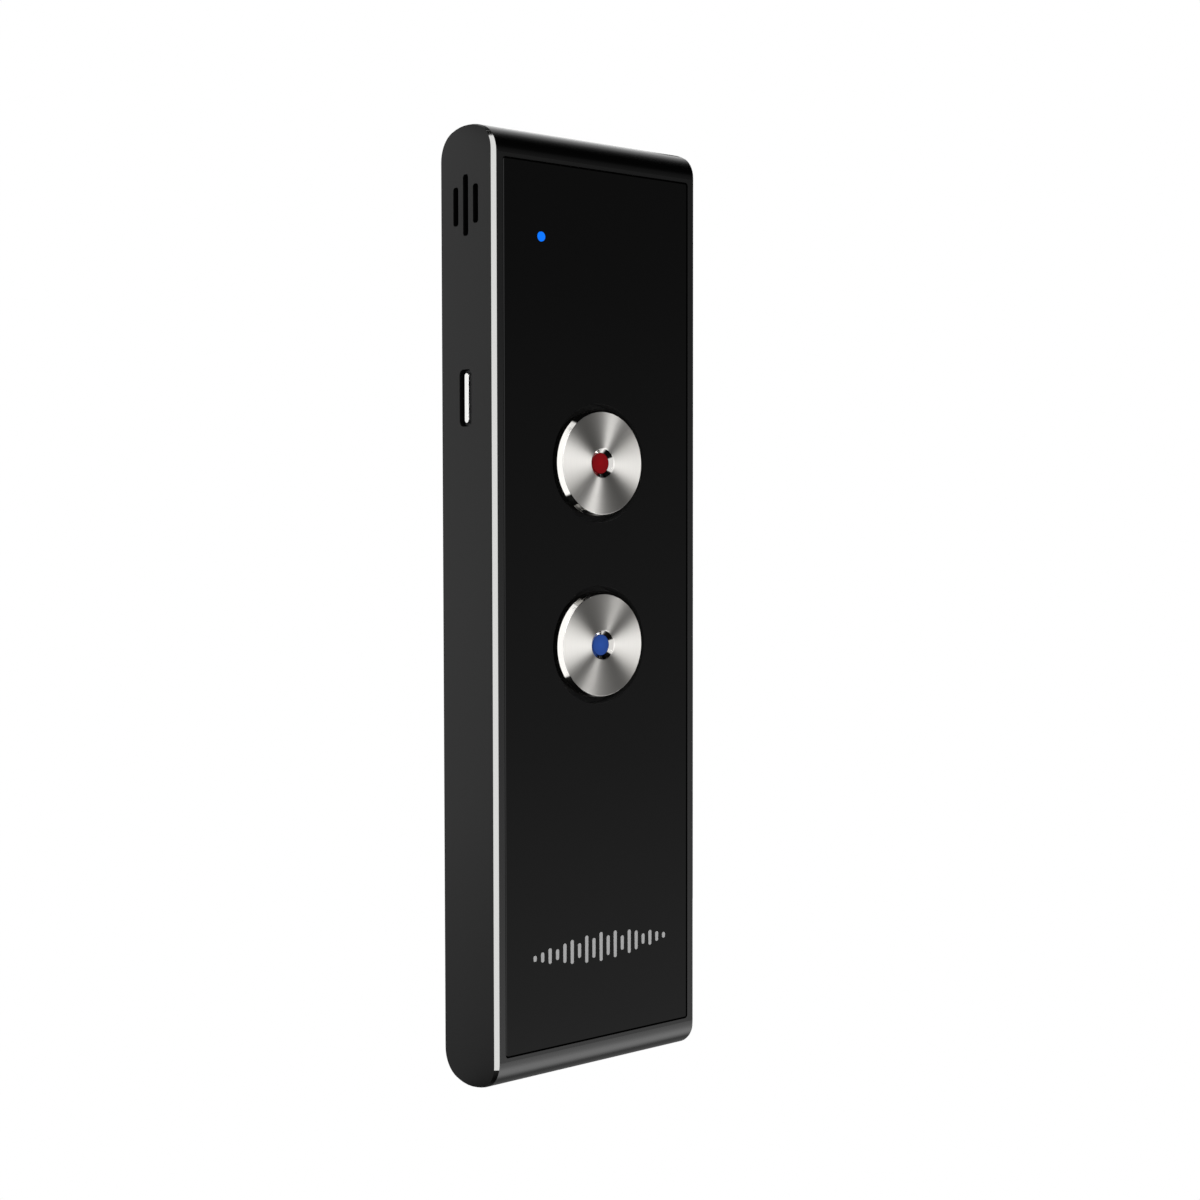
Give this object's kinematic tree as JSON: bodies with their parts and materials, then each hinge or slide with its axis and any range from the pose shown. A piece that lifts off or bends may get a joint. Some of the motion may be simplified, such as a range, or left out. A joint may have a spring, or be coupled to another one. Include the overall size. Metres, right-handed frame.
{
  "type": "handheld translator",
  "caption": "Slim black hand-held voice translator: metal frame with crowned ends, gloss front panel, round metal push keys, side power key, side speaker slots.",
  "frame": {"origin": "centre of the flat back, on the surface the device lies on", "axes": "+X across the front to the right, +Y along the length to the speaker end, +Z out of the front panel"},
  "size_m": [0.039, 0.14, 0.0138],
  "materials": {
    "black_anodised": "fine blasted, black anodised, with a bright cut front edge",
    "cover_abs": "moulded, fine satin texture",
    "panel_acrylic": "gloss",
    "deck_abs": "moulded matt",
    "black_tape": "soft",
    "spun_steel": "circular brushed face, polished flank",
    "red_lens": "gloss",
    "blue_lens": "gloss",
    "key_abs": "moulded matt",
    "switch_nylon": "moulded",
    "plunger_nylon": "moulded",
    "polished_steel": "polished",
    "board_laminate": "solder mask",
    "chip_resin": "moulded",
    "tin_plate": "rolled",
    "screw_steel": "zinc plated",
    "cell_foil": "foil pouch",
    "foam": "open foam",
    "lead_pvc": "smooth",
    "socket_nylon": "moulded",
    "speaker_plastic": "moulded",
    "cone_film": "formed film",
    "mesh_cloth": "woven",
    "light_guide": "clear, lit blue",
    "led_resin": "clear",
    "ceramic_body": "fired",
    "ferrite": "sintered"
  },
  "bodies": {
    "case": {"case_frame": "black_anodised", "rear_cover": "cover_abs", "mid_deck": "deck_abs", "panel_adhesive": "black_tape", "front_panel": "panel_acrylic", "deck_screws": "screw_steel", "board_screws": "screw_steel", "power_switch_body": "switch_nylon", "main_board": "board_laminate", "rf_shield": "tin_plate", "processor": "chip_resin", "flash_memory": "chip_resin", "audio_codec": "chip_resin", "charger_chip": "chip_resin", "power_coil": "ferrite", "chip_antenna": "ceramic_body", "status_led": "led_resin", "board_components": "ceramic_body", "light_pipe": "light_guide", "battery_cell": "cell_foil", "battery_tape": "black_tape", "battery_foam": "foam", "battery_protector": "board_laminate", "battery_socket": "socket_nylon", "battery_leads": "lead_pvc", "speaker_mesh": "mesh_cloth", "speaker_gasket": "foam", "speaker_cone": "cone_film", "speaker_basket": "speaker_plastic", "speaker_magnet": "tin_plate", "speaker_leads": "lead_pvc", "usb_shell": "polished_steel", "usb_tongue": "switch_nylon", "microphone": "tin_plate", "microphone_boot": "black_tape", "red_switch_body": "switch_nylon", "blue_switch_body": "switch_nylon"},
    "red_button": {"red_key_cap": "spun_steel", "red_key_insert": "red_lens", "red_key_carrier": "key_abs", "red_switch_plunger": "plunger_nylon"},
    "blue_button": {"blue_key_cap": "spun_steel", "blue_key_insert": "blue_lens", "blue_key_carrier": "key_abs", "blue_switch_plunger": "plunger_nylon"},
    "power_button": {"power_key": "polished_steel", "power_key_carrier": "key_abs", "power_switch_plunger": "plunger_nylon"}
  },
  "joints": [
    {"name": "red_key_press", "type": "slide", "parent": "case", "child": "red_button", "axis": [0, 0, -1], "range_m": [0, 0.0004], "stiffness_N_per_m": 1500, "springref_m": -0.0005},
    {"name": "blue_key_press", "type": "slide", "parent": "case", "child": "blue_button", "axis": [0, 0, -1], "range_m": [0, 0.0004], "stiffness_N_per_m": 1500, "springref_m": -0.0005},
    {"name": "power_key_press", "type": "slide", "parent": "case", "child": "power_button", "axis": [1, 0, 0], "range_m": [0, 0.0003], "stiffness_N_per_m": 1500, "springref_m": -0.0005}
  ]
}
